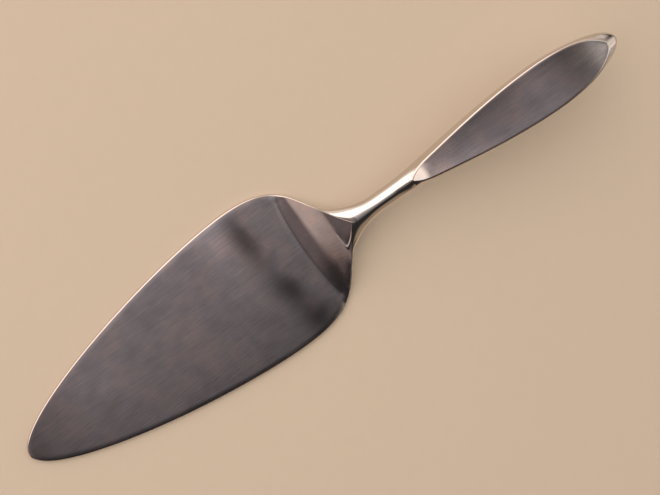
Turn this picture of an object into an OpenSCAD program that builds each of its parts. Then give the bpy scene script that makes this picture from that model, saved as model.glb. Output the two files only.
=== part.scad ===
// Cake server with a flat triangular blade, a raised root, a round neck and a hollow handle.
// It lies on the flat of its blade, with the tip towards -X and the handle's end towards +X.
// The origin is on the surface it lies on, under the middle of the whole length.

/* [Overall] */
// Length from the blade's tip to the handle's end
overall_length = 260; // [240:1:312]

/* [Blade] */
// Length from the tip to the point of the raised root
blade_length = 145; // [125:1:160]
// Greatest width of the blade
blade_width = 59; // [49:0.5:71]
// Thickness of the steel sheet
blade_thickness = 1.8; // [1.5:0.1:2.2]
// Fullness of the rounded tip
tip_fullness = 13.4; // [11:0.2:16]
// Run of the raised root, from the end of the flat to its point
root_run = 18.5; // [16:0.5:22]
// Run of the small facet on top of the root
crest_run = 7.2; // [6:0.2:8.6]
// Slope of the root's ramp, in degrees
ramp_angle = 40; // [33:1:46]
// Slope of the small facet, in degrees
crest_angle = 22; // [16:1:28]
// Inside radius of the bend between the flat and the ramp
bend_radius = 6; // [4:0.5:8]
// Radius of the crease between the ramp and the small facet
crest_radius = 2.6; // [2.4:0.1:4]

/* [Neck] */
// Diameter of the round neck
neck_diameter = 7.5; // [6:0.1:9]
// Distance from the root's point to where the neck is fully round
flare_run = 11; // [9:0.5:14]
// Run of the flared sides that frame the root
frame_run = 8.8; // [7.5:0.1:10]
// Length of the thin saddle under the ramp, ahead of the flared sides
saddle_run = 4.7; // [3.5:0.1:5.5]
// Thickness of the rim round the root's point
rim = 0.4; // [0.3:0.05:0.6]
// Slope of the neck, in degrees
neck_pitch = 6.8; // [4:0.2:9]
// Distance from the root's point to the joint with the handle
neck_run = 24; // [20:0.5:28]

/* [Tang] */
// Diameter of the tang
tang_diameter = 4.2; // [3.2:0.1:4.6]
// Length of the tang behind the neck
tang_length = 42; // [30:1:55]

/* [Handle] */
// Greatest width of the handle
handle_width = 19.8; // [16.5:0.1:24]
// Rise of the handle's axis from the root's point to its end
handle_rise = 18.7; // [14:0.1:23]
// Slope of the axis at the handle's end, in degrees
end_pitch = 4.6; // [2:0.2:8]
// Distance from the root's point to where the handle starts to widen
swell_run = 18; // [15:0.5:22]
// Distance from the handle's end to its widest place
widest_to_end = 31; // [26:0.5:38]
// Depth of the belly below the widest line, at the widest place
belly_depth = 4.85; // [4:0.05:6]
// Wall of the two pressed shells
wall = 0.8; // [0.6:0.05:1]
// Thickness of the closed end
end_wall = 2.5; // [2:0.1:3.5]
// Distance from the root's point to the tip of the flat top facet
facet_run = 26.4; // [25:0.2:32]
// Distance from the handle's end to the end of the facet
facet_to_end = 4.7; // [3.5:0.1:6]
// Height of the facet above the widest line, at its rear end
facet_height = 2.9; // [2.4:0.05:3.4]
// Length of the cement that holds the tang
cement_length = 46; // [34:1:60]

/* [Hidden] */

// Running gap between fitted pieces
fit_gap = 0.05;
// Overrun of cuts and embedded ends
overrun = 2;
// Half-width of the blunt front of the saddle
saddle_nose = 1.5;
// Thickness of the saddle's front edge
saddle_edge = 0.5;
// Half-width of the small flat at the handle's very end
end_flat = 0.5;

// Facets of a full circle in the preview
$fn = 48;

// Steps along a curve, round a flank, and along each stretch of the lofts
curve_steps = 14;
flank_steps = 7;
saddle_steps = 5;
frame_steps = 9;
neck_steps = 10;
handle_steps = 26;
nose_steps = 10;
// Above 1, the rings lie closer together towards the facet's tip
ring_crowding = 1.2;

// Reach of the blade's curves, and where its shoulder turns, as shares
widest_share = 0.738;
side_reach_share = 0.318;
shoulder_reach_share = 0.368;
shoulder_pull_share = 0.18;
corner_shares = [0.645, 0.70];
waist_pull_share = 0.135;
root_pull_share = 0.22;
corner_angle = 51.5;
root_angle = 50;

// Shares that shape the flare, the handle's outline and its facet
flare_pull_share = 0.3;
flare_reach_share = 0.5;
swell_reach_share = 0.21;
widest_reach_share = 0.41;
end_reach_share = 0.45;
end_fullness_share = 0.586;
facet_pull_share = 0.125;
facet_reach_share = 0.6;
facet_drop_share = 0.22;
nose_blend_share = 0.5;

// Width of the saddle's flat top, and where the pocket's corners lie on a flat top
saddle_flat_share = 0.9;
pocket_shares = [0.8, 0.4];

// Angle on the flank at which its top edge lies, on the frame and on a round section
frame_edge_angle = 66;
round_edge_angle = 86;

half_width = blade_width / 2;
neck_radius = neck_diameter / 2;
handle_half = handle_width / 2;
widest_x = widest_share * blade_length;
rear_run = blade_length - widest_x;
corner_x = widest_x + corner_shares[0] * rear_run;
corner_y = corner_shares[1] * half_width;
bend_x = blade_length - root_run;
crest_x = blade_length - crest_run;
handle_run = overall_length - blade_length;
handle_widest_x = overall_length - widest_to_end;
swell_x = blade_length + swell_run;
facet_x = blade_length + facet_run;
facet_end_x = overall_length - facet_to_end;
joint_x = blade_length + neck_run;
frame_x = blade_length - frame_run;
saddle_x = frame_x - saddle_run;
round_x = blade_length + flare_run;

// Point of a cubic curve with four control points
function bezier(p, t) =
    pow(1 - t, 3) * p[0] + 3 * pow(1 - t, 2) * t * p[1]
    + 3 * (1 - t) * pow(t, 2) * p[2] + pow(t, 3) * p[3];

// Points along a cubic curve, without its first point
function curve(p, n = curve_steps) = [for (i = [1 : n]) bezier(p, i / n)];

// Smooth step from 0 to 1
function ease(t) = let (u = max(0, min(1, t))) u * u * (3 - 2 * u);

// Half of the blade's outline, from the tip along the side to the root's point
corner_turn = [cos(corner_angle), -sin(corner_angle)];
root_turn = [cos(root_angle), -sin(root_angle)];
side_curve = [
    [0, 0],
    [0, tip_fullness],
    [widest_x * (1 - side_reach_share), half_width],
    [widest_x, half_width]
];
shoulder_curve = [
    [widest_x, half_width],
    [widest_x + shoulder_reach_share * rear_run, half_width],
    [corner_x, corner_y] - shoulder_pull_share * rear_run * corner_turn,
    [corner_x, corner_y]
];
waist_curve = [
    [corner_x, corner_y],
    [corner_x, corner_y] + waist_pull_share * rear_run * corner_turn,
    [blade_length, 0] - root_pull_share * rear_run * root_turn,
    [blade_length, 0]
];
blade_side = concat(
    [side_curve[0]], curve(side_curve), curve(shoulder_curve), curve(waist_curve)
);
rear_side = concat([[widest_x, half_width]], curve(shoulder_curve), curve(waist_curve));
function blade_half(x) = lookup(x, rear_side);

// Side view of the blade's upper face, rear of the flat: bend, ramp, crease and small facet
bend_end = [
    bend_x + bend_radius * sin(ramp_angle),
    blade_thickness + bend_radius * (1 - cos(ramp_angle))
];
crest_z = bend_end[1] + (crest_x - bend_end[0]) * tan(ramp_angle);
root_z = crest_z + crest_run * tan(crest_angle);
crease_reach = crest_radius * tan((ramp_angle - crest_angle) / 2);
crease_start = [crest_x, crest_z] - crease_reach * [cos(ramp_angle), sin(ramp_angle)];
crease_centre = crease_start + crest_radius * [sin(ramp_angle), -cos(ramp_angle)];

// The same face moved down by a depth measured square to it
function face_points(depth) = concat(
    [for (i = [0 : curve_steps])
        let (a = ramp_angle * i / curve_steps, r = bend_radius + depth)
        [bend_x + r * sin(a), blade_thickness + bend_radius - r * cos(a)]],
    [for (i = [0 : saddle_steps])
        let (a = ramp_angle + (crest_angle - ramp_angle) * i / saddle_steps)
        crease_centre + (crest_radius - depth) * [-sin(a), cos(a)]],
    [[blade_length + overrun, root_z + overrun * tan(crest_angle) - depth / cos(crest_angle)]]
);
upper_face = concat([[-overrun, blade_thickness]], face_points(0));
under_face = concat([[-overrun, 0]], face_points(blade_thickness));
function face_z(x) = lookup(x, upper_face);
function under_z(x) = lookup(x, under_face);

// Height of the axis of the neck and handle, at a distance from the tip
axis_z = root_z - neck_radius;
third = handle_run / 3;
axis_curve = [
    [blade_length, axis_z],
    [blade_length + third, axis_z + third * tan(neck_pitch)],
    [overall_length - third, axis_z + handle_rise - third * tan(end_pitch)],
    [overall_length, axis_z + handle_rise]
];
function spine_z(x) = bezier(axis_curve, (x - blade_length) / handle_run)[1];

// Half-width of the neck and handle, seen from above
frame_half = blade_half(frame_x);
flare_turn = [1, -frame_half / frame_run];
saddle_plan = [
    [saddle_x, saddle_nose],
    [saddle_x, frame_half / 2],
    [saddle_x + saddle_run / 2, frame_half],
    [frame_x, frame_half]
];
flare_plan = [
    [frame_x, frame_half],
    [frame_x, frame_half] + flare_pull_share * frame_run * flare_turn,
    [round_x - flare_reach_share * (round_x - frame_x), neck_radius],
    [round_x, neck_radius]
];
swell = handle_widest_x - swell_x;
swell_plan = [
    [swell_x, neck_radius],
    [swell_x + swell_reach_share * swell, neck_radius],
    [handle_widest_x - widest_reach_share * swell, handle_half],
    [handle_widest_x, handle_half]
];
end_plan = [
    [handle_widest_x, handle_half],
    [handle_widest_x + end_reach_share * widest_to_end, handle_half],
    [overall_length, end_fullness_share * handle_half],
    [overall_length, end_flat]
];
plan_side = concat(
    [saddle_plan[0]], curve(saddle_plan), curve(flare_plan), [swell_plan[0]],
    curve(swell_plan, handle_steps), curve(end_plan, handle_steps)
);
function plan_half(x) = lookup(x, plan_side);

// Height of the flat facet above the widest line
facet_tip_height = plan_half(facet_x);
facet_length = facet_end_x - facet_x;
facet_curve = [
    [facet_x, facet_tip_height],
    [facet_x + facet_pull_share * facet_length, facet_tip_height],
    [facet_end_x - facet_reach_share * facet_length,
        facet_height + facet_drop_share * (facet_tip_height - facet_height)],
    [facet_end_x, facet_height]
];
facet_side = concat([facet_curve[0]], curve(facet_curve, handle_steps), [[overall_length, facet_height]]);
function facet_z(x) = lookup(x, facet_side);

// Height of the uncut section above the widest line, and depth of the belly below it
nose_height_share = facet_height / plan_half(facet_end_x);
function round_height(x) =
    x < swell_x ? neck_radius
    : plan_half(x) * (1 - (1 - nose_height_share)
        * ease((x - handle_widest_x) / (facet_end_x - handle_widest_x) / nose_blend_share - 1));
function belly(x) =
    x < swell_x ? neck_radius
    : plan_half(x) * (1 - (1 - belly_depth / handle_half) * ease((x - swell_x) / swell));

// Lowest height of the saddle, ahead of the root's point
saddle_low = under_z(saddle_x) - saddle_edge;
saddle_drop = axis_z - neck_radius - (blade_length - saddle_x) * tan(neck_pitch) - saddle_low;
function saddle_z(x) =
    axis_z - neck_radius - (blade_length - x) * tan(neck_pitch)
    - saddle_drop * pow((blade_length - x) / (blade_length - saddle_x), 2);

// A section is [x, half-width, widest height, height, depth, half-width of top, edge angle]
function level_section(x, half, low, top, flat) =
    [x, half, (top + low) / 2, (top - low) / 2, (top - low) / 2, flat, frame_edge_angle];
function round_section(x) =
    let (
        high = round_height(x),
        cut = x < facet_x ? high : facet_z(x),
        edge = cut < high ? min(round_edge_angle, asin(cut / high)) : round_edge_angle,
        half = plan_half(x)
    )
    [x, half, spine_z(x), high * sin(edge), belly(x), half * cos(edge), edge];

// The same section inside a wall
function inside(s, t) = [
    s[0], s[1] - t, s[2], s[3] - t, s[4] - t,
    max(s[5] - t, (s[1] - t) * cos(round_edge_angle)), s[6]
];

// Points of a section's upper and lower half, from +Y over to -Y
function upper_points(s) =
    let (flank = [for (i = [0 : flank_steps])
        let (a = s[6] * i / flank_steps)
        [s[5] + (s[1] - s[5]) * (cos(a) - cos(s[6])) / (1 - cos(s[6])),
            s[3] * sin(a) / sin(s[6])]])
    concat(
        [for (i = [0 : flank_steps]) [s[0], flank[i][0], s[2] + flank[i][1]]],
        [for (i = [flank_steps : -1 : 0]) [s[0], -flank[i][0], s[2] + flank[i][1]]]
    );
function lower_points(s) = [
    for (i = [0 : 2 * flank_steps + 1])
        let (a = 180 * i / (2 * flank_steps + 1))
        [s[0], s[1] * cos(a), s[2] - s[4] * sin(a)]
];
function reversed(list) = [for (i = [len(list) - 1 : -1 : 0]) list[i]];
function inner_run(list) = [for (i = [1 : len(list) - 2]) list[i]];
function full_ring(s) = concat(upper_points(s), reversed(inner_run(lower_points(s))));

// Neck section: the same, with two corners on either side of the pocket for the raised root
function pocket_ring(s, mouth, bottom, floor_z) =
    let (up = upper_points(s), top_z = up[flank_steps][2])
    concat(
        [for (i = [0 : flank_steps]) up[i]],
        [[s[0], mouth, top_z], [s[0], bottom, floor_z], [s[0], -bottom, floor_z], [s[0], -mouth, top_z]],
        [for (i = [flank_steps + 1 : 2 * flank_steps + 1]) up[i]],
        reversed(inner_run(lower_points(s)))
    );
function saddle_ring(x) =
    let (half = plan_half(x), top = under_z(x) - fit_gap, flat = saddle_flat_share * half)
    pocket_ring(
        level_section(x, half, saddle_z(x), top, flat),
        pocket_shares[0] * flat, pocket_shares[1] * flat, top
    );
function frame_ring(x) =
    let (
        mouth = blade_half(x) + fit_gap,
        flat = mouth + rim,
        floor_z = under_z(x) - fit_gap,
        top = x > frame_x ? face_z(x) : floor_z,
        bottom = x > frame_x ? mouth : mouth - fit_gap
    )
    pocket_ring(
        level_section(x, max(plan_half(x), flat + fit_gap), saddle_z(x), top, flat),
        mouth, bottom, floor_z
    );
function neck_ring(x) =
    let (s = round_section(x), top_z = s[2] + s[3])
    pocket_ring(s, pocket_shares[0] * s[5], pocket_shares[1] * s[5], top_z);

// Solid skinned over rings that have the same number of points
module loft(rings) {
    n = len(rings[0]);
    last = len(rings) - 1;
    skin = [for (i = [0 : last - 1], j = [0 : n - 1])
        let (a = i * n + j, b = i * n + (j + 1) % n)
        each [[a, a + n, b], [b, a + n, b + n]]];
    polyhedron(
        points = [for (r = rings) each r],
        faces = concat([[for (j = [0 : n - 1]) j]], skin, [[for (j = [n - 1 : -1 : 0]) last * n + j]]),
        convexity = 6
    );
}

// Half of the hollow handle: outer and inner skins, their rims, the open front and the closed end
module half_shell(outer, inner) {
    n = len(outer[0]);
    rings = len(outer);
    last = rings - 1;
    inside_at = rings * n;
    outer_skin = [for (i = [0 : last - 1], j = [0 : n - 2])
        let (a = i * n + j) each [[a, a + n, a + 1], [a + 1, a + n, a + n + 1]]];
    inner_skin = [for (i = [0 : last - 1], j = [0 : n - 2])
        let (a = inside_at + i * n + j) each [[a, a + 1, a + n], [a + 1, a + n + 1, a + n]]];
    rims = [for (i = [0 : last - 1])
        let (a = i * n, b = inside_at + i * n, c = a + n - 1, d = b + n - 1)
        each [[a, b, a + n], [b, b + n, a + n], [c, c + n, d], [d, c + n, d + n]]];
    front = [for (j = [0 : n - 2])
        let (a = j, b = inside_at + j) each [[a, a + 1, b], [b, a + 1, b + 1]]];
    outer_end = [for (j = [n - 1 : -1 : 0]) last * n + j];
    inner_end = [for (j = [0 : n - 1]) inside_at + last * n + j];
    end_rim = [last * n, inside_at + last * n, inside_at + last * n + n - 1, last * n + n - 1];
    polyhedron(
        points = concat([for (r = outer) each r], [for (r = inner) each r]),
        faces = concat(outer_skin, inner_skin, rims, front, [outer_end, inner_end, end_rim]),
        convexity = 6
    );
}

// Distances from the tip at which the lofts have a ring
saddle_places = [for (i = [0 : saddle_steps - 1]) saddle_x + saddle_run * pow(i / saddle_steps, 2)];
frame_places = [for (i = [0 : frame_steps]) frame_x + frame_run * i / frame_steps];
neck_places = concat(
    [blade_length + rim],
    [for (i = [1 : neck_steps]) blade_length + neck_run * i / neck_steps]
);
body_end_x = facet_end_x - facet_to_end;
body_places = concat(
    [joint_x],
    [for (i = [0 : handle_steps - 1]) facet_x + (body_end_x - facet_x) * pow(i / handle_steps, ring_crowding)]
);
nose_length = overall_length - body_end_x;
nose_places = [for (i = [0 : nose_steps]) overall_length - nose_length * pow(1 - i / nose_steps, 2)];
shell_places = concat(body_places, nose_places);
// The cavity's rings lie a little closer together, so that it ends before the handle does
cavity_scale = (overall_length - end_wall - joint_x) / (overall_length - joint_x);
function cavity_x(x) = joint_x + (x - joint_x) * cavity_scale;

// Axis of the tang, along the neck's end and into the handle
tang_end_x = joint_x + tang_length;
tang_rise = spine_z(tang_end_x) - spine_z(joint_x);
tang_angle = atan2(tang_rise, tang_length);
module along_tang() {
    translate([joint_x, 0, spine_z(joint_x)]) rotate([0, 90 - tang_angle, 0]) children();
}

module from_middle() {
    translate([-overall_length / 2, 0, 0]) children();
}

// Extrudes a side view across the whole width
module across(width) {
    translate([0, width / 2, 0]) rotate([90, 0, 0]) linear_extrude(width) children();
}

// Flat sheet with a rounded triangular outline and a raised, pointed root
module blade() {
    outline = concat(blade_side, [for (p = reversed(inner_run(blade_side))) [p[0], -p[1]]]);
    color("lightslategray") from_middle() intersection() {
        linear_extrude(root_z + overrun) polygon(outline);
        across(blade_width + overrun) polygon(concat(under_face, reversed(upper_face)));
    }
}

// Forged and polished: saddle under the ramp, frame round the root, round neck, and tang
module neck() {
    color("gainsboro") from_middle() union() {
        loft(concat(
            [for (x = saddle_places) saddle_ring(x)],
            [for (x = frame_places) frame_ring(x)],
            [for (x = neck_places) neck_ring(x)]
        ));
        along_tang() translate([0, 0, -overrun])
            cylinder(h = tang_length / cos(tang_angle) + overrun, d = tang_diameter);
    }
}

// Pressed upper half of the handle, with the flat top facet
module handle_top_shell() {
    color("slategray") from_middle() half_shell(
        [for (x = shell_places) upper_points(round_section(x))],
        [for (x = shell_places) upper_points(inside(round_section(cavity_x(x)), wall))]
    );
}

// Pressed lower half of the handle, with the rounded belly
module handle_under_shell() {
    color("silver") from_middle() half_shell(
        [for (x = shell_places) reversed(lower_points(round_section(x)))],
        [for (x = shell_places) reversed(lower_points(inside(round_section(cavity_x(x)), wall)))]
    );
}

// Cement that fills the front of the handle round the tang
module tang_cement() {
    end_x = joint_x + cement_length;
    places = [for (x = shell_places) if (cavity_x(x) < end_x - fit_gap) cavity_x(x)];
    color("tan") from_middle() difference() {
        loft([for (x = concat(places, [end_x])) full_ring(inside(round_section(x), wall + fit_gap))]);
        along_tang() translate([0, 0, -overrun])
            cylinder(h = tang_length / cos(tang_angle) + overrun + fit_gap, d = tang_diameter + 2 * fit_gap);
    }
}

blade();
neck();
handle_top_shell();
handle_under_shell();
tang_cement();
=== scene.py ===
import math
import bpy
import numpy as np
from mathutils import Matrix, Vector


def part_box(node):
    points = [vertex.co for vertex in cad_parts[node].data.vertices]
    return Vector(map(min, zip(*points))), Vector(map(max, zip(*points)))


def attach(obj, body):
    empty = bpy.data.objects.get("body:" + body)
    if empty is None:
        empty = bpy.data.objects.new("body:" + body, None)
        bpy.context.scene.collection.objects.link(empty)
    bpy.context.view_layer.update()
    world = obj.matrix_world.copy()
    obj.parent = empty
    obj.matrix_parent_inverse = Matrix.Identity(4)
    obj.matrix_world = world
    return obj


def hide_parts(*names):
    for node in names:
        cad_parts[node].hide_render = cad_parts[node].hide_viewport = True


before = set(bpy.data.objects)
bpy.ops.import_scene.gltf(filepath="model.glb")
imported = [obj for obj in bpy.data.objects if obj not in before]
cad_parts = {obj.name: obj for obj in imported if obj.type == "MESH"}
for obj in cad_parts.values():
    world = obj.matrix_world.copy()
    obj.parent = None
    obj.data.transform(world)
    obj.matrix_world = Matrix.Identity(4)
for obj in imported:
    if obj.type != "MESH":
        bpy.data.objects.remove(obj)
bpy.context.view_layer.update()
mm = 0.001
tiny = 1e-9  # keeps a width or height above zero where a piece runs out
weldReach = 0.5e-6  # points closer than this become one

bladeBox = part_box("blade")
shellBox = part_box("handle_top_shell")
tipX = bladeBox[0][0]  # the blade's tip; every "along" below is a distance from here
rootAlong = bladeBox[1][0] - tipX  # the point of the raised root
endAlong = shellBox[1][0] - tipX  # the handle's end
jointAlong = shellBox[0][0] - tipX  # where the neck meets the handle
bladeHalf = bladeBox[1][1]
handleHalf = shellBox[1][1]
rootTop = bladeBox[1][2]


# small helpers

def cubic(t, a, b, c, d):
    return (1 - t) ** 3 * a + 3 * (1 - t) ** 2 * t * b + 3 * (1 - t) * t ** 2 * c + t ** 3 * d


def bezier(points, steps=400):
    return cubic(np.linspace(0, 1, steps)[:, None], *np.array(points, float))


def fallingWay(degrees):
    # a direction that runs back along the piece and inwards
    return np.array([math.cos(math.radians(degrees)), -math.sin(math.radians(degrees))])


def ease(t):
    t = np.clip(t, 0, 1)
    return t * t * (3 - 2 * t)


def spread(counts, places, bends):
    # stations along a piece: a bend above 1 crowds a stretch at its start, one below zero at its end
    out = [np.array([places[0]])]
    for n, a, b, bend in zip(counts, places, places[1:], bends):
        share = np.arange(1, n + 1) / n
        share = share ** bend if bend > 0 else 1 - (1 - share) ** -bend
        out.append(a + (b - a) * share)
    return np.concatenate(out)


def deselectAll():
    if bpy.context.object and bpy.context.object.mode != "OBJECT":
        bpy.ops.object.mode_set(mode="OBJECT")
    bpy.ops.object.select_all(action="DESELECT")


def pickPieces(first, *others):
    deselectAll()
    for piece in (first, *others):
        piece.select_set(True)
    bpy.context.view_layer.objects.active = first


def readPoints(piece):
    points = np.empty(len(piece.data.vertices) * 3)
    piece.data.vertices.foreach_get("co", points)
    return points.reshape(-1, 3)


def writePoints(piece, points):
    piece.data.vertices.foreach_set("co", points.ravel())
    piece.data.update()


def addSheet(name, stations, columns, shape):
    # a plain grid, with each of its points laid on the surface that shape gives
    deselectAll()
    bpy.ops.mesh.primitive_grid_add(x_subdivisions=len(stations) - 1, y_subdivisions=columns, size=2)
    piece = bpy.context.object
    piece.name = name
    piece.data.name = name
    points = readPoints(piece)
    row = np.rint((points[:, 0] + 1) / 2 * (len(stations) - 1)).astype(int)
    column = np.rint((points[:, 1] + 1) / 2 * columns).astype(int)
    along = stations[row]
    across, height = shape(along, column)
    writePoints(piece, np.stack([along + tipX, across, height], axis=1))
    return piece


def joinPieces(first, *others):
    pickPieces(first, *others)
    bpy.ops.object.join()
    return first


def editPiece(piece):
    pickPieces(piece)
    bpy.ops.object.mode_set(mode="EDIT")
    bpy.ops.mesh.select_mode(type="VERT")
    bpy.ops.mesh.select_all(action="SELECT")


def selectOpenEdges():
    bpy.ops.mesh.select_mode(type="EDGE")
    bpy.ops.mesh.select_all(action="DESELECT")
    bpy.ops.mesh.select_non_manifold(extend=False, use_wire=False, use_multi_face=False,
                                     use_non_contiguous=False, use_verts=False, use_boundary=True)


def closeUp(piece, bridge=True):
    # weld what meets, close the open edges, and turn every face outwards
    editPiece(piece)
    bpy.ops.mesh.remove_doubles(threshold=weldReach)
    selectOpenEdges()
    if bridge:
        bpy.ops.mesh.bridge_edge_loops()
    else:
        bpy.ops.mesh.fill_holes(sides=0)
    bpy.ops.mesh.select_all(action="SELECT")
    bpy.ops.mesh.normals_make_consistent(inside=False)
    bpy.ops.mesh.select_all(action="DESELECT")
    bpy.ops.object.mode_set(mode="OBJECT")
    return piece


def smoothPiece(piece, angle):
    pickPieces(piece)
    bpy.ops.object.shade_smooth_by_angle(angle=math.radians(angle))


def faceCentres(piece):
    centres = np.empty(len(piece.data.polygons) * 3)
    normals = np.empty(len(piece.data.polygons) * 3)
    piece.data.polygons.foreach_get("center", centres)
    piece.data.polygons.foreach_get("normal", normals)
    return centres.reshape(-1, 3), normals.reshape(-1, 3)


def paintFaces(piece, finishes, slots):
    for finish in finishes:
        piece.data.materials.append(finish)
    piece.data.polygons.foreach_set("material_index", slots.astype(np.int32))
    piece.data.update()


# shader nodes: sums are written as sums, and any other node comes from one method

class Socket:
    def __init__(self, maker, link):
        self.maker = maker
        self.link = link

    def sum(self, operation, a, b):
        return self.maker.node("ShaderNodeMath", {"operation": operation}, {0: a, 1: b})["Value"]

    def __add__(self, other):
        return self.sum("ADD", self, other)

    def __radd__(self, other):
        return self.sum("ADD", other, self)

    def __sub__(self, other):
        return self.sum("SUBTRACT", self, other)

    def __rsub__(self, other):
        return self.sum("SUBTRACT", other, self)

    def __mul__(self, other):
        return self.sum("MULTIPLY", self, other)

    def __rmul__(self, other):
        return self.sum("MULTIPLY", other, self)

    def __truediv__(self, other):
        return self.sum("DIVIDE", self, other)


class Outputs:
    def __init__(self, maker, made):
        self.maker = maker
        self.made = made

    def __getitem__(self, name):
        return Socket(self.maker, self.made.outputs[name])

    def result(self):
        # the colour output of a mix node
        return Socket(self.maker, self.made.outputs[2])


class NodeMaker:
    def __init__(self, tree):
        self.tree = tree
        tree.nodes.clear()

    def node(self, kind, settings=None, sockets=None):
        made = self.tree.nodes.new(kind)
        for name, value in (settings or {}).items():
            if name == "stops":
                ramp = made.color_ramp
                while len(ramp.elements) < len(value):
                    ramp.elements.new(0.5)
                for stop, (place, colour) in zip(ramp.elements, value):
                    stop.position = place
                    stop.color = (*colour, 1)
            else:
                setattr(made, name, value)
        for name, value in (sockets or {}).items():
            if isinstance(value, Socket):
                self.tree.links.new(value.link, made.inputs[name])
            else:
                made.inputs[name].default_value = value
        return Outputs(self, made)

    def blendColours(self, kind, share, a, b):
        # 6 and 7 are the mix node's colour inputs
        pick = {"data_type": "RGBA", "blend_type": kind}
        return self.node("ShaderNodeMix", pick, {0: share, 6: a, 7: b}).result()

    def mixColours(self, share, a, b):
        return self.blendColours("MIX", share, a, b)

    def scaleColour(self, colour, share):
        grey = self.node("ShaderNodeCombineXYZ", {}, {"X": share, "Y": share, "Z": share})["Vector"]
        return self.blendColours("MULTIPLY", 1.0, colour, grey)

    def bell(self, value, centre, width):
        offset = value - centre
        power = offset * offset * (-0.5 / width ** 2)
        return self.node("ShaderNodeMath", {"operation": "EXPONENT"}, {0: power})["Value"]

    def rise(self, value, low, high):
        # 0 at low, 1 at high, eased between them
        return self.node("ShaderNodeMapRange", {"interpolation_type": "SMOOTHSTEP"},
                         {"Value": value, "From Min": low, "From Max": high})["Result"]

    def between(self, value, ends):
        # 1 between the middle two of four ends, 0 outside the outer two
        start, full, fade, stop = ends
        return self.rise(value, start, full) * self.rise(value, stop, fade)


def newMaterial(name):
    material = bpy.data.materials.new(name)
    material.use_nodes = True
    return material, NodeMaker(material.node_tree)


# finishes

brushedSteel = {
    "colour": (0.615, 0.508, 0.50, 1),
    "darker": (0.45, 0.385, 0.385, 1),
    "tint": (0.555, 0.528, 0.565, 1),  # the bluish cast of some patches
    "tintRun": (0.65, 0.9),
    "tintMottle": 0.5,
    "roughness": 0.11,
    "roughnessSpread": 0.12,
    "cloudRoughness": 0.08,
    "grainLength": 125,  # noise cells per metre along the grain
    "grainWidth": 4200,  # and across it
    "grainDepth": 200,
    "streakWidth": 2300,
    "streakDepth": 120,
    "wideWidth": 300,
    "wideDepth": 60,
    "noiseRoughness": 0.6,
    "grainHeight": 0.000013,
    "grainRise": 0.7,
    "streakRise": 0.4,
    "wideRise": 0.15,
    "cloud": 42,
    "cloudShare": 1.6,
    "mottle": 170,
    "mottleShare": 1.2,
    "streakShare": 1.6,
    "wideShare": 0.5,
}
bladeTone = {
    "wobble": 0.004,  # how far the painted reflections' edges wander
    "face": (0.0006, 0.0012),  # heights between the underside and the face
    "plain": (-0.008, 0.000),  # past here, on the bend and the ramp, the grain is polished thinner
    "plainShare": 0.7,
    # painted reflections: soft dark spots, and pale ones below zero: place along and across, reach along and
    # across, slant, depth
    "spots": [
        (-0.0206, 0.0176, 0.0027, 0.0072, 0.06, 0.62),
        (-0.0180, -0.0086, 0.0033, 0.0052, 0.15, 0.56),
        (-0.0150, -0.0232, 0.0046, 0.0052, 0.10, 0.66),
        (-0.0190, -0.0030, 0.0036, 0.0140, 0.16, 0.18),
        (-0.0290, 0.0240, 0.0042, 0.0060, 0.06, -0.38),
        (-0.0315, 0.0080, 0.0040, 0.0100, 0.10, -0.14),
        (-0.0940, 0.0060, 0.0080, 0.0060, 0.10, -0.16),
    ],
}
facetTone = {
    # painted highlight: the scoop and the facet's front are painted paler, falling to plain along plainRun
    "scoop": 0.20,
    "scoopEnd": (0.0455, 0.0495),
    "scoopPlain": 0.8,
    "pale": 1.5,
    "plain": 1.0,
    "plainRun": (0.054, 0.078),
    "round": 180,  # how far the scoop's rear end is rounded, per metre of width squared
    "patch": (0.095, 0.0055, 0.35),  # a painted pale reflection: place, reach and strength
    "patchSide": (-0.004, 0.005),  # towards +Y
    "band": (0.1115, 0.0050, 0.31),  # a painted dark reflection band behind it
    "end": (0.1165, 0.1225, 0.45),  # and a painted pale end
    "hazeRun": (0.074, 0.046),
    "haze": 0.17,  # duller beside the scoop
    "dip": (0.0400, 0.0505),  # the scoop's fine hollow, laid over the modelled one
    "dipDepth": 0.0007,
}


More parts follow.
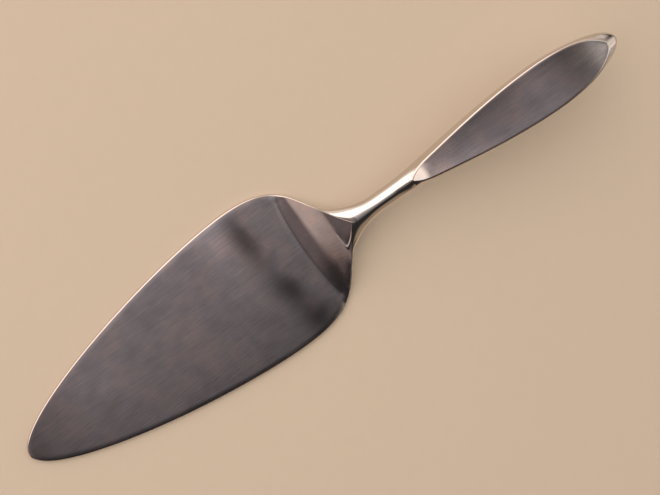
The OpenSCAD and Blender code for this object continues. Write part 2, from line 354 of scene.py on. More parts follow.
def makeBrushed(name, extra, s=brushedSteel):
    material, make = newMaterial(name)
    place = make.node("ShaderNodeTexCoord")["Object"]

    def stretchedNoise(scale, detail):
        mapped = make.node("ShaderNodeMapping", {}, {"Vector": place, "Scale": scale})["Vector"]
        sockets = {"Vector": mapped, "Scale": 1.0, "Detail": detail, "Roughness": s["noiseRoughness"]}
        return make.node("ShaderNodeTexNoise", {}, sockets)["Fac"]

    grain = stretchedNoise((s["grainLength"], s["grainWidth"], s["grainDepth"]), 3.0)
    streak = stretchedNoise((s["grainLength"], s["streakWidth"], s["streakDepth"]), 3.0)
    wide = stretchedNoise((s["grainLength"] / 3, s["wideWidth"], s["wideDepth"]), 2.0)
    cloud = make.node("ShaderNodeTexNoise", {}, {"Vector": place, "Scale": s["cloud"], "Detail": 3.0})["Fac"]
    mottle = make.node("ShaderNodeTexNoise", {}, {"Vector": place, "Scale": s["mottle"], "Detail": 3.0})["Fac"]
    shade, grainShare, dip, haze = extra(make, place, mottle, cloud)
    lines = (streak - 0.5) * s["streakShare"] + (wide - 0.5) * s["wideShare"]
    tone = 0.5 + lines * grainShare + (cloud - 0.5) * s["cloudShare"] + (mottle - 0.5) * s["mottleShare"]
    tinted = make.rise(cloud + mottle * s["tintMottle"], *s["tintRun"])
    clean = make.mixColours(tinted, s["tint"], s["colour"])
    colour = make.scaleColour(make.mixColours(tone, s["darker"], clean), shade)
    rough = (grain - 0.5) * s["roughnessSpread"] + s["roughness"] + (cloud - 0.5) * s["cloudRoughness"] + haze
    ridges = (streak * s["streakRise"] + wide * s["wideRise"]) * grainShare
    height = grain * s["grainRise"] + ridges - dip / s["grainHeight"]
    sockets = {"Height": height, "Distance": s["grainHeight"], "Strength": 1.0}
    bump = make.node("ShaderNodeBump", {}, sockets)["Normal"]
    shader = make.node("ShaderNodeBsdfPrincipled", {}, {
        "Base Color": colour, "Metallic": 1.0, "Roughness": rough, "Normal": bump})
    make.node("ShaderNodeOutputMaterial", {}, {"Surface": shader["BSDF"]})
    return material


def bladeShade(make, place, mottle, cloud, s=bladeTone):
    # painted reflections on the face: dark spots in front of the bend and paler ones ahead of them, and the
    # thinner grain past the bend
    axes = make.node("ShaderNodeSeparateXYZ", {}, {"Vector": place})
    x = axes["X"] + (mottle - 0.5) * s["wobble"]
    y = axes["Y"] + (cloud - 0.5) * s["wobble"]
    shade = 1.0
    upper = make.rise(axes["Z"], *s["face"])
    # each painted reflection scales the face's colour: darker for a depth above zero, paler below zero
    for along, across, reachX, reachY, slant, depth in s["spots"]:
        reflectionMark = make.bell(x + (y - across) * slant, along, reachX) * make.bell(y, across, reachY)
        shade = shade * (1 - reflectionMark * upper * depth)
    return shade, 1 - make.rise(axes["X"], *s["plain"]) * s["plainShare"], 0.0, 0.0


def facetShade(make, place, mottle, cloud, s=facetTone):
    # painted highlight: palest in the scoop, and still pale for a little way past it
    axes = make.node("ShaderNodeSeparateXYZ", {}, {"Vector": place})
    x = axes["X"]
    bowed = x + axes["Y"] * axes["Y"] * s["round"]
    scoop = 1 - make.rise(bowed, *s["scoopEnd"])
    shade = s["pale"] + scoop * s["scoop"] + make.rise(x, *s["plainRun"]) * (s["plain"] - s["pale"])
    # painted reflections along the facet: a pale patch towards +Y, a dark band, and a pale end
    along, reach, strength = s["patch"]
    shade = shade + make.bell(x, along, reach) * make.rise(axes["Y"], *s["patchSide"]) * strength
    along, reach, strength = s["band"]
    start, stop, paler = s["end"]
    shade = shade - make.bell(x, along, reach) * strength + make.rise(x, start, stop) * paler
    haze = (1 - scoop) * make.rise(x, *s["hazeRun"]) * s["haze"]
    return shade, 1 - scoop * s["scoopPlain"], make.rise(bowed, *s["dip"]) * s["dipDepth"], haze


polishedSteel = {
    "colour": (0.76, 0.715, 0.67, 1),
    "dulled": (0.67, 0.625, 0.58, 1),
    "roughness": 0.055,
    "smear": 60,
    "smearRoughness": 0.06,
    "scratchLength": 60,
    "scratch": 2600,
    "scratchRoughness": 0.03,
    "scratchHeight": 0.0000006,
}
edgeTone = {
    "colour": (0.66, 0.575, 0.535, 1),
    "dulled": (0.56, 0.49, 0.46, 1),
    "roughness": 0.11,
}


def makePolished(name, s=polishedSteel):
    material, make = newMaterial(name)
    place = make.node("ShaderNodeTexCoord")["Object"]
    smear = make.node("ShaderNodeTexNoise", {}, {"Vector": place, "Scale": s["smear"], "Detail": 4.0})["Fac"]
    scale = (s["scratchLength"], s["scratch"], s["scratch"])
    mapped = make.node("ShaderNodeMapping", {}, {"Vector": place, "Scale": scale})["Vector"]
    scratch = make.node("ShaderNodeTexNoise", {}, {"Vector": mapped, "Scale": 1.0, "Detail": 2.0})["Fac"]
    colour = make.mixColours(smear, s["dulled"], s["colour"])
    rough = (smear - 0.5) * s["smearRoughness"] + (scratch - 0.5) * s["scratchRoughness"] + s["roughness"]
    sockets = {"Height": scratch, "Distance": s["scratchHeight"], "Strength": 1.0}
    bump = make.node("ShaderNodeBump", {}, sockets)["Normal"]
    shader = make.node("ShaderNodeBsdfPrincipled", {}, {
        "Base Color": colour, "Metallic": 1.0, "Roughness": rough, "Normal": bump})
    make.node("ShaderNodeOutputMaterial", {}, {"Surface": shader["BSDF"]})
    return material


cementTone = {
    "grit": 900.0,
    "gritShare": 0.6,
    "lump": 140.0,
    "lumpShare": 0.4,
    "dark": (0.34, 0.28, 0.20, 1),
    "pale": (0.66, 0.58, 0.45, 1),
    "roughness": 0.7,
    "roughnessSpread": 0.2,
    "gritHeight": 0.0001,
}


def makeCement(name, s=cementTone):
    material, make = newMaterial(name)
    place = make.node("ShaderNodeTexCoord")["Object"]
    grit = make.node("ShaderNodeTexNoise", {}, {"Vector": place, "Scale": s["grit"], "Detail": 6.0})["Fac"]
    lump = make.node("ShaderNodeTexNoise", {}, {"Vector": place, "Scale": s["lump"], "Detail": 2.0})["Fac"]
    colour = make.mixColours(grit * s["gritShare"] + lump * s["lumpShare"], s["dark"], s["pale"])
    sockets = {"Height": grit, "Distance": s["gritHeight"], "Strength": 1.0}
    bump = make.node("ShaderNodeBump", {}, sockets)["Normal"]
    shader = make.node("ShaderNodeBsdfPrincipled", {}, {
        "Base Color": colour, "Roughness": lump * s["roughnessSpread"] + s["roughness"], "Normal": bump})
    make.node("ShaderNodeOutputMaterial", {}, {"Surface": shader["BSDF"]})
    return material


# the face finish carries painted reflections, and the facet finish a painted highlight and painted reflections
faceSteel = makeBrushed("face_steel", bladeShade)
facetSteel = makeBrushed("facet_steel", facetShade)
mirrorSteel = makePolished("mirror_steel")
edgeSteel = makePolished("edge_steel", {**polishedSteel, **edgeTone})
setCement = makeCement("set_cement")
print("finishes made")


# the blade: outline, side view, polished round edge and the dished root

bladeSizes = {
    "widest": 0.738 * rootAlong,
    "tipFullness": 13.4 * mm,
    "sideReachShare": 0.318,
    "shoulderReachShare": 0.368,
    "shoulderPullShare": 0.18,
    "cornerShares": (0.645, 0.70),
    "cornerAngle": 51.5,
    "waistPullShare": 0.135,
    "rootPullShare": 0.22,
    "rootAngle": 50,
    "thickness": 1.8 * mm,
    "bendAlong": rootAlong - 18.5 * mm,
    "bendRadius": 6 * mm,  # the radius that sets the ramp's line; the arc itself is wider by the next two
    "bendMore": 2.5 * mm,
    "bendBow": 7 * mm,
    "bowReach": 21 * mm,
    "rampAngle": 40,
    "rampBefore": 3 * mm,  # how far the ramp's line is carried on in front of the bend
    "crestAlong": rootAlong - 7.2 * mm,
    "crestAngle": 22,
    "crestRadius": 10 * mm,
    "crestSteps": 16,
    "rootPast": 2 * mm,
    "edgeRound": 0.52 * mm,  # how far the polished round reaches in from the outline
    "edgeDrop": 0.36 * mm,
    "edgePolishShare": 0.95,
    "underRound": 0.45 * mm,
    "heldAlong": rootAlong - 8.8 * mm,  # from here the neck's frame holds the outline
    "heldBlend": 3 * mm,
    "heldRound": 0.25 * mm,
    "heldDrop": 0.1 * mm,
    "heldUnder": 0.12 * mm,
    "shoulder": 2.4 * mm,
    "shoulderDrop": 0.09 * mm,
    "archRadius": 400 * mm,
    "archRise": 6 * mm,
    "archStop": 4 * mm,
    "archFall": 5 * mm,
    "lipMargin": 1.25 * mm,
    "lipMarginEnd": 0.35 * mm,
    "lipMarginRun": 4 * mm,
    "lipCorner": 0.65 * mm,
    "lipHeight": 0.09 * mm,
    "lipWidth": 0.17 * mm,
    "lipStop": 1.2 * mm,
    "lipFade": 5.5 * mm,
    "lipFront": 1.2 * mm,
    "lipPointRun": 3 * mm,
    "lipPointLoss": 0.65,
    "lipSeen": 0.25,
    "grooveDepth": 0.12 * mm,
    "grooveWall": 0.3 * mm,
    "grooveReach": 1.1 * mm,
    "columns": 96,
    "tipRun": 12 * mm,
    "bendLead": 5 * mm,
    "crestLead": 2 * mm,
    "stationCounts": [26, 80, 60, 66],
    "stationBends": [2, 1, 1, 1],
    "smoothAngle": 50,
}


def bladeOutline(s):
    rear = rootAlong - s["widest"]
    cornerRun, cornerHalf = s["cornerShares"]
    corner = np.array([s["widest"] + cornerRun * rear, cornerHalf * bladeHalf])
    turn = fallingWay(s["cornerAngle"])
    rootTurn = fallingWay(s["rootAngle"])
    root = np.array([rootAlong, 0])
    widest = np.array([s["widest"], bladeHalf])
    reach = s["widest"] * (1 - s["sideReachShare"])
    side = bezier([[0, 0], [0, s["tipFullness"]], [reach, bladeHalf], widest])
    shoulder = bezier([widest, widest + [s["shoulderReachShare"] * rear, 0],
                       corner - s["shoulderPullShare"] * rear * turn, corner])
    waist = bezier([corner, corner + s["waistPullShare"] * rear * turn,
                    root - s["rootPullShare"] * rear * rootTurn, root])
    return np.concatenate([side, shoulder[1:], waist[1:]])


outline = bladeOutline(bladeSizes)


def outlineHalf(along):
    return np.interp(along, outline[:, 0], outline[:, 1])


def outlineGap(along, across, batch=2000):
    # shortest way from each point to the outline, a batch of points at a time
    points = np.stack([along, np.abs(across)], axis=1)
    a, b = outline[:-1], outline[1:]
    step = b - a
    length = (step ** 2).sum(axis=1)
    best = np.full(len(points), np.inf)
    for start in range(0, len(points), batch):
        part = points[start:start + batch, None, :] - a
        share = np.clip((part * step).sum(axis=2) / length, 0, 1)
        best[start:start + batch] = np.sqrt(((part - share[..., None] * step) ** 2).sum(axis=2).min(axis=1))
    return best


def sideView(s, depth):
    # the ramp, its crest and the raised root seen from the side, moved down by a depth square to them
    ramp = math.radians(s["rampAngle"])
    crest = math.radians(s["crestAngle"])
    bendEndX = s["bendAlong"] + s["bendRadius"] * math.sin(ramp)
    bendEndZ = s["thickness"] + s["bendRadius"] * (1 - math.cos(ramp))
    crestZ = bendEndZ + (s["crestAlong"] - bendEndX) * math.tan(ramp)
    reach = s["crestRadius"] * math.tan((ramp - crest) / 2)
    startX = s["crestAlong"] - reach * math.cos(ramp)
    startZ = crestZ - reach * math.sin(ramp)
    centreX = startX + s["crestRadius"] * math.sin(ramp)
    centreZ = startZ - s["crestRadius"] * math.cos(ramp)
    footX = s["bendAlong"] - s["rampBefore"]
    foot = [[footX, bendEndZ - (bendEndX - footX) * math.tan(ramp) - depth / math.cos(ramp)]]
    turn = np.linspace(ramp, crest, s["crestSteps"])
    radius = s["crestRadius"] - depth
    bent = np.stack([centreX - radius * np.sin(turn), centreZ + radius * np.cos(turn)], axis=1)
    rootZ = crestZ + (rootAlong - s["crestAlong"]) * math.tan(crest)
    last = [[rootAlong + s["rootPast"], rootZ + s["rootPast"] * math.tan(crest) - depth / math.cos(crest)]]
    return np.concatenate([foot, bent, last])


upperLine = sideView(bladeSizes, 0)
underLine = sideView(bladeSizes, bladeSizes["thickness"])


def bentHeight(along, across, line, depth, s=bladeSizes):
    # flat, then an arc into the ramp; the arc is wider in the middle of the blade than at its edges
    ramp = math.radians(s["rampAngle"])
    radius = s["bendRadius"] + s["bendMore"] + s["bendBow"] * np.clip(1 - (across / s["bowReach"]) ** 2, 0, 1)
    start = s["bendAlong"] - (radius - s["bendRadius"]) * math.tan(ramp / 2)
    outer = radius + depth
    past = np.clip(along - start, 0, outer * math.sin(ramp))
    arc = s["thickness"] + radius - np.sqrt(outer ** 2 - past ** 2)
    return np.where(along < start + outer * math.sin(ramp), arc, np.interp(along, line[:, 0], line[:, 1]))


def faceHeight(along, across=0.0):
    return bentHeight(along, across, upperLine, 0)


def underHeight(along, across=0.0):
    return bentHeight(along, across, underLine, bladeSizes["thickness"])


def rootInside(along, gap, s=bladeSizes):
    # how far inside the lip of the raised root a point lies, below zero outside it
    share = ease((along - s["crestAlong"]) / s["lipMarginRun"])
    margin = s["lipMargin"] + (s["lipMarginEnd"] - s["lipMargin"]) * share
    front, side, soft = along - s["crestAlong"], gap - margin, s["lipCorner"]
    return -soft * np.log(np.exp(-front / soft) + np.exp(-side / soft))


def lipStrength(along, across, s=bladeSizes):
    # strongest at the rounded corner, fading towards the middle of the ramp and towards the point
    toPoint = ease((along - s["crestAlong"] - s["lipFront"]) / s["lipPointRun"])
    return ease((s["lipStop"] - across) / s["lipFade"]) * (1 - s["lipPointLoss"] * toPoint)


def lipRise(along, across, gap, s=bladeSizes):
    inside = rootInside(along, gap)
    lip = s["lipHeight"] * np.exp(-(inside / s["lipWidth"]) ** 2)
    past = np.clip(inside - s["grooveWall"], 0, None)
    groove = s["grooveDepth"] * ease(inside / s["grooveWall"]) * np.exp(-past / s["grooveReach"])
    return (lip - groove) * lipStrength(along, across)


def archDrop(along, across, s=bladeSizes):
    # the ramp is faintly arched from side to side
    rise = ease((along - s["bendAlong"]) / s["archRise"])
    fall = ease((along - s["crestAlong"] + s["archStop"]) / s["archFall"])
    return across ** 2 / (2 * s["archRadius"]) * rise * (1 - fall)


def roundDrop(gap, reach, drop):
    inside = np.clip(1 - gap / reach, 0, 1)
    return drop * (1 - np.sqrt(1 - inside ** 2))


def heldShare(along, s=bladeSizes):
    # 0 on the free blade, 1 where the neck's frame holds it
    return ease((along - s["heldAlong"] + s["heldBlend"] / 2) / s["heldBlend"])


def acrossBlade(along, column, s=bladeSizes):
    # columns crowd towards the edges
    return np.sin((column / s["columns"] * 2 - 1) * math.pi / 2) * outlineHalf(along)


def bladeTop(along, column, s=bladeSizes):
    across = acrossBlade(along, column)
    gap = outlineGap(along, across)
    held = heldShare(along)
    reach = s["edgeRound"] + (s["heldRound"] - s["edgeRound"]) * held
    drop = s["edgeDrop"] + (s["heldDrop"] - s["edgeDrop"]) * held
    height = faceHeight(along, across) - archDrop(along, across) - roundDrop(gap, reach, drop)
    height -= s["shoulderDrop"] * (1 - held) * np.clip(1 - gap / s["shoulder"], 0, 1) ** 2
    return across, height + lipRise(along, across, gap)


def bladeUnder(along, column, s=bladeSizes):
    across = acrossBlade(along, column)
    gap = outlineGap(along, across)
    reach = s["underRound"] + (s["heldUnder"] - s["underRound"]) * heldShare(along)
    height = underHeight(along, across) - archDrop(along, across)
    return across, height + roundDrop(gap, reach, reach)


def makeBlade(s=bladeSizes):
    places = [0, s["tipRun"], s["bendAlong"] - s["bendLead"], s["crestAlong"] - s["crestLead"], rootAlong]
    stations = spread(s["stationCounts"], places, s["stationBends"])
    top = addSheet("blade", stations, s["columns"], bladeTop)
    under = addSheet("blade_under", stations, s["columns"], bladeUnder)
    blade = closeUp(joinPieces(top, under))
    centres, normals = faceCentres(blade)
    along = centres[:, 0] - tipX
    gap = outlineGap(along, centres[:, 1])
    edgeReach = s["edgeRound"] * s["edgePolishShare"] + (s["heldRound"] - s["edgeRound"]) * heldShare(along)
    edge = gap < edgeReach
    lip = (np.abs(rootInside(along, gap)) < s["lipWidth"]) & (normals[:, 2] > 0)
    lip &= (along > s["crestAlong"] - s["lipFront"]) & (lipStrength(along, centres[:, 1]) > s["lipSeen"])
    paintFaces(blade, [faceSteel, edgeSteel, mirrorSteel], np.where(lip, 2, edge.astype(int)))
    smoothPiece(blade, s["smoothAngle"])
    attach(blade, "root")
    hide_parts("blade")


makeBlade()
print("blade made")


# the neck and the hollow handle share one side view and one outline

handleSizes = {
    "neckRadius": 3.75 * mm,
    "neckPitch": 6.8,
    "endPitch": 4.6,
    "rise": 18.7 * mm,
    "frameRun": 8.8 * mm,
    "saddleRun": 4.7 * mm,
    "saddleNose": 1.5 * mm,
    "flareRun": 11 * mm,
    "flarePullShare": 0.3,
    "flareReachShare": 0.5,
    "swellRun": 18 * mm,
    "swellReachShare": 0.21,
    "widestToEnd": 31 * mm,
    "widestReachShare": 0.41,
    "endReachShare": 0.45,
    "endFullnessShare": 0.586,
    "belly": 4.85 * mm,
    "facetRun": 26.4 * mm,
    "facetToEnd": 4.7 * mm,
    "facetHeight": 2.9 * mm,
    "facetPullShare": 0.125,
    "facetReachShare": 0.6,
    "facetDropShare": 0.22,
    "facetSink": 0.015 * mm,
    "noseBlendShare": 0.5,
    "scoopDepth": 0.68 * mm,
    "scoopRun": 5.4 * mm,
    "scoopHoldShare": 1.2,
    "scoopFade": 16 * mm,
    "scoopSoft": 0.2,
    "hollow": 0.02,  # how hollow the facet is, as a share of its half width
    "edgeRound": 0.55 * mm,
    "edgeMostShare": 0.45,
    "edgeSeenShare": 0.7,
    "steep": 0.9,  # how far the flank beside the facet is ground off the round
    "steepLead": 2.2 * mm,
    "steepRise": 8 * mm,
    "steepFade": 12 * mm,
    "steepPower": 1.5,
    "wall": 0.8 * mm,
    "apart": 0.5 * mm,
    "endWall": 2.5 * mm,
    "flankColumns": 26,
    "edgeColumns": 5,
    "facetColumns": 14,
    "rimCrowding": 1.35,
    "facetLead": 12 * mm,
    "widestPast": 8 * mm,
    "stationCounts": [8, 30, 70, 64],
    "stationBends": [1, 2, 1, -1.8],
    "smoothAngle": 60,
}
rim = 0.4 * mm
fitGap = 0.05 * mm
frameAlong = rootAlong - handleSizes["frameRun"]
saddleAlong = frameAlong - handleSizes["saddleRun"]
roundAlong = rootAlong + handleSizes["flareRun"]
swellAlong = rootAlong + handleSizes["swellRun"]
widestAlong = endAlong - handleSizes["widestToEnd"]
facetAlong = rootAlong + handleSizes["facetRun"]
facetEndAlong = endAlong - handleSizes["facetToEnd"]
axisZ = rootTop - handleSizes["neckRadius"]


def planCurve(s):
    frameHalf = float(outlineHalf(frameAlong))
    turn = np.array([1, -frameHalf / s["frameRun"]])
    start = np.array([frameAlong, frameHalf])
    neck = s["neckRadius"]
    swell = widestAlong - swellAlong
    saddle = bezier([[saddleAlong, s["saddleNose"]], [saddleAlong, frameHalf / 2],
                     [saddleAlong + s["saddleRun"] / 2, frameHalf], start])
    flare = bezier([start, start + s["flarePullShare"] * s["frameRun"] * turn,
                    [roundAlong - (roundAlong - frameAlong) * s["flareReachShare"], neck], [roundAlong, neck]])
    body = bezier([[swellAlong, neck], [swellAlong + s["swellReachShare"] * swell, neck],
                   [widestAlong - s["widestReachShare"] * swell, handleHalf], [widestAlong, handleHalf]])
    end = bezier([[widestAlong, handleHalf],
                  [widestAlong + s["endReachShare"] * s["widestToEnd"], handleHalf],
                  [endAlong, s["endFullnessShare"] * handleHalf], [endAlong, 0]])
    return np.concatenate([saddle, flare[1:], body, end[1:]])


plan = planCurve(handleSizes)


def planHalf(along):
    return np.interp(along, plan[:, 0], plan[:, 1])


def axisHeight(along, s=handleSizes):
    run = endAlong - rootAlong
    third = run / 3
    leaving = axisZ + third * math.tan(math.radians(s["neckPitch"]))
    coming = axisZ + s["rise"] - third * math.tan(math.radians(s["endPitch"]))
    return cubic((along - rootAlong) / run, axisZ, leaving, coming, axisZ + s["rise"])


def facetCurve(s):
    tip = float(planHalf(facetAlong))
    run = facetEndAlong - facetAlong
    low = s["facetHeight"]
    return bezier([[facetAlong, tip], [facetAlong + s["facetPullShare"] * run, tip],
                   [facetEndAlong - s["facetReachShare"] * run, low + s["facetDropShare"] * (tip - low)],
                   [facetEndAlong, low]])


facetLine = facetCurve(handleSizes)


def roundHeight(along, s=handleSizes):
    noseShare = s["facetHeight"] / float(planHalf(facetEndAlong))
    share = (along - widestAlong) / (facetEndAlong - widestAlong)
    blend = ease((share - 1) / s["noseBlendShare"] + 1)
    return planHalf(along) * (1 - (1 - noseShare) * blend)


def facetHeight(along, scooped=True, s=handleSizes):
    base = np.interp(along, facetLine[:, 0], facetLine[:, 1])
    if not scooped:
        return base
    past = np.clip(along - facetAlong, 0, None)
    left = 1 - past / s["scoopRun"]
    soft = s["scoopSoft"]
    share = np.clip((1 + math.sqrt(1 + soft)) / 2 - (left + np.sqrt(left ** 2 + soft)) / 2, 0, 1)
    fade = np.exp(-np.clip(past - s["scoopRun"] * s["scoopHoldShare"], 0, None) / s["scoopFade"])
    return base - s["scoopDepth"] * share * fade - s["facetSink"]


# millimetres past the root, and there 2 for a round section or more for a squarer one
squareLine = np.array([[-23, 2.6], [0, 2.6], [7, 2.2], [12, 2.0], [200, 2.0]])


def squareness(along):
    return np.interp((along - rootAlong) / mm, squareLine[:, 0], squareLine[:, 1])


def facetEdge(along, inset=0.0):
    # the angle at which the facet cuts the section, and its half width there
    half = np.maximum(planHalf(along) - inset, tiny)
    high = np.maximum(roundHeight(along) - inset, tiny)
    cut = np.where(along < facetAlong, high, np.minimum(facetHeight(along, inset == 0) - inset, high))
    cut = np.maximum(cut, tiny)
    power = squareness(along)
    edge = np.arcsin(np.clip(cut / high, 0, 0.99999) ** (power / 2))
    return half, high, cut, edge, half * np.cos(edge) ** (2 / power), power


def facetSoft(flat, s=handleSizes):
    # how far the facet's small round edge reaches in
    return np.minimum(s["edgeRound"], s["edgeMostShare"] * flat)


def bellyDepth(along, s=handleSizes):
    blend = ease((along - swellAlong) / (widestAlong - swellAlong))
    return planHalf(along) * (1 - (1 - s["belly"] / handleHalf) * blend)


def upperSection(along, column, inset=0.0, s=handleSizes):
    # across the top from one side to the other: flank, small round edge, flat facet
    half, high, cut, edge, flat, power = facetEdge(along, inset)
    soft = facetSoft(flat)
    softAngle = edge - np.minimum(soft / np.maximum(high, tiny), 0.5 * edge)
    sideCount = s["flankColumns"] + s["edgeColumns"] + s["facetColumns"]
    fromRim = sideCount - np.abs(column - sideCount)
    sign = np.where(column > sideCount, 1, -1)
    flankShare = np.clip(fromRim / s["flankColumns"], 0, 1) ** s["rimCrowding"]
    steep = s["steep"] * ease((along - facetAlong + s["steepLead"]) / s["steepRise"])
    steep = steep * (1 - ease((along - widestAlong) / s["steepFade"]))

    def flank(angle):
        # beside the facet the round flank is ground steeper
        z = high * np.sin(angle) ** (2 / power)
        ground = half - (half - flat) * np.clip(z / cut, 0, 1) ** s["steepPower"]
        return (1 - steep) * half * np.cos(angle) ** (2 / power) + steep * ground, z

    y, z = flank(softAngle * flankShare)
    t = np.clip((fromRim - s["flankColumns"]) / s["edgeColumns"], 0, 1)
    startY, startZ = flank(softAngle)
    bentY = (1 - t) ** 2 * startY + 2 * t * (1 - t) * flat + t ** 2 * (flat - soft)
    bentZ = (1 - t) ** 2 * startZ + 2 * t * (1 - t) * cut + t ** 2 * cut
    y = np.where(fromRim > s["flankColumns"], bentY, y)
    z = np.where(fromRim > s["flankColumns"], bentZ, z)
    inner = np.clip((fromRim - s["flankColumns"] - s["edgeColumns"]) / s["facetColumns"], 0, 1)
    y = np.where(inner > 0, (flat - soft) * (1 - inner), y)
    hollow = np.where(along < facetAlong, 0, s["hollow"] * flat)
    z = np.where(inner > 0, cut - hollow * (1 - (1 - inner) ** 2), z)
    return sign * y, axisHeight(along) + z


def lowerSection(along, column, inset=0.0, s=handleSizes):
    half = np.maximum(planHalf(along) - inset, tiny)
    deep = np.maximum(bellyDepth(along) - inset, tiny)
    count = s["flankColumns"] * 2
    share = column / count * 2 - 1
    angle = np.sign(share) * (1 - (1 - np.abs(share)) ** s["rimCrowding"]) * math.pi / 2
    return half * np.sin(angle), axisHeight(along) - deep * np.cos(angle)


def makeShell(name, section, columns, s=handleSizes):
    places = [jointAlong, facetAlong, facetAlong + s["facetLead"], widestAlong + s["widestPast"], endAlong]
    stations = spread(s["stationCounts"], places, s["stationBends"])
    outer = addSheet(name, stations, columns, section)
    squeeze = (endAlong - s["endWall"] - jointAlong) / (endAlong - jointAlong)

    def loweredInside(along, column):
        across, height = section(along, column, s["wall"])
        return across, height - s["apart"]

    # both rims lie in one plane, where a bridge can twist: the inside is held apart for it, then put back
    inner = addSheet(name + "_inside", jointAlong + (stations - jointAlong) * squeeze, columns, loweredInside)
    inner.vertex_groups.new(name="inside").add(list(range(len(inner.data.vertices))), 1.0, "REPLACE")
    shell = closeUp(joinPieces(outer, inner))
    lowered = np.array([len(vertex.groups) > 0 for vertex in shell.data.vertices])
    points = readPoints(shell)
    points[lowered, 2] += s["apart"]
    writePoints(shell, points)
    shell.vertex_groups.clear()
    editPiece(shell)
    bpy.ops.mesh.normals_make_consistent(inside=False)
    bpy.ops.object.mode_set(mode="OBJECT")
    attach(shell, "root")
    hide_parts(name)
    return shell


def makeHandle(s=handleSizes):
    columns = 2 * (s["flankColumns"] + s["edgeColumns"] + s["facetColumns"])
    top = makeShell("handle_top_shell", upperSection, columns)
    centres, normals = faceCentres(top)
    along = centres[:, 0] - tipX
    _, _, cut, _, flat, _ = facetEdge(along)
    facetHalf = flat - facetSoft(flat)
    onFacet = (np.abs(centres[:, 1]) < facetHalf) & (normals[:, 2] > 0.5)
    onFacet &= (along > facetAlong) & (along < facetEndAlong)
    onFacet &= centres[:, 2] > axisHeight(along) + cut - s["wall"] / 2
    onEdge = (along > facetAlong) & (normals[:, 2] > 0) & (np.abs(centres[:, 1]) > facetHalf)
    onEdge &= centres[:, 2] > axisHeight(along) + cut - s["edgeRound"] * s["edgeSeenShare"]
    paintFaces(top, [facetSteel, mirrorSteel, edgeSteel], np.where(onFacet, 0, np.where(onEdge, 2, 1)))
    smoothPiece(top, s["smoothAngle"])
    under = makeShell("handle_under_shell", lowerSection, s["flankColumns"] * 2)
    paintFaces(under, [mirrorSteel], np.zeros(len(under.data.polygons)))
    smoothPiece(under, s["smoothAngle"])


makeHandle()
print("handle made")


# the neck: saddle under the ramp, frame round the root, then a plain round bar with its tang

neckSizes = {
    "flank": 22,
    "pocket": 4,
    "belly": 44,
    "saddleEdge": 0.5 * mm,
    "saddleFlatShare": 0.9,
    "frameRise": 1.6 * mm,
    "frameEdgeAngle": 66,
    "frameEdgeTurn": 22.85,
    "rimSink": 0.06 * mm,  # how far the rim stays below the blade's face
    "rimRun": 2.2 * mm,
    "rimFlatShare": 0.3,
    "rimMostShare": 0.97,
    "pocketShare": 0.6,
    "creaseBlend": 0.42 * mm,
    "creaseReach": 6 * mm,
    "creasePower": 7,
    "rootSoft": 0.18 * mm,
    "rootSoftMost": 60,  # keeps the soft minimum's power in range
    "pointRound": 0.5 * mm,
    "tangRadius": 2.1 * mm,
    "tangLength": 42 * mm,
    "tangBevel": 0.3 * mm,
    "tangSides": 48,
    "stationCounts": [12, 40, 2, 40, 26],
    "stationBends": [2, 1, 1, 1, 1],
    "smoothAngle": 60,
}


def saddleHeight(along):
    pitch = math.tan(math.radians(handleSizes["neckPitch"]))
    foot = axisZ - handleSizes["neckRadius"]
    low = float(underHeight(saddleAlong)) - neckSizes["saddleEdge"]
    drop = foot - (rootAlong - saddleAlong) * pitch - low
    return foot - (rootAlong - along) * pitch - drop * ((rootAlong - along) / (rootAlong - saddleAlong)) ** 2


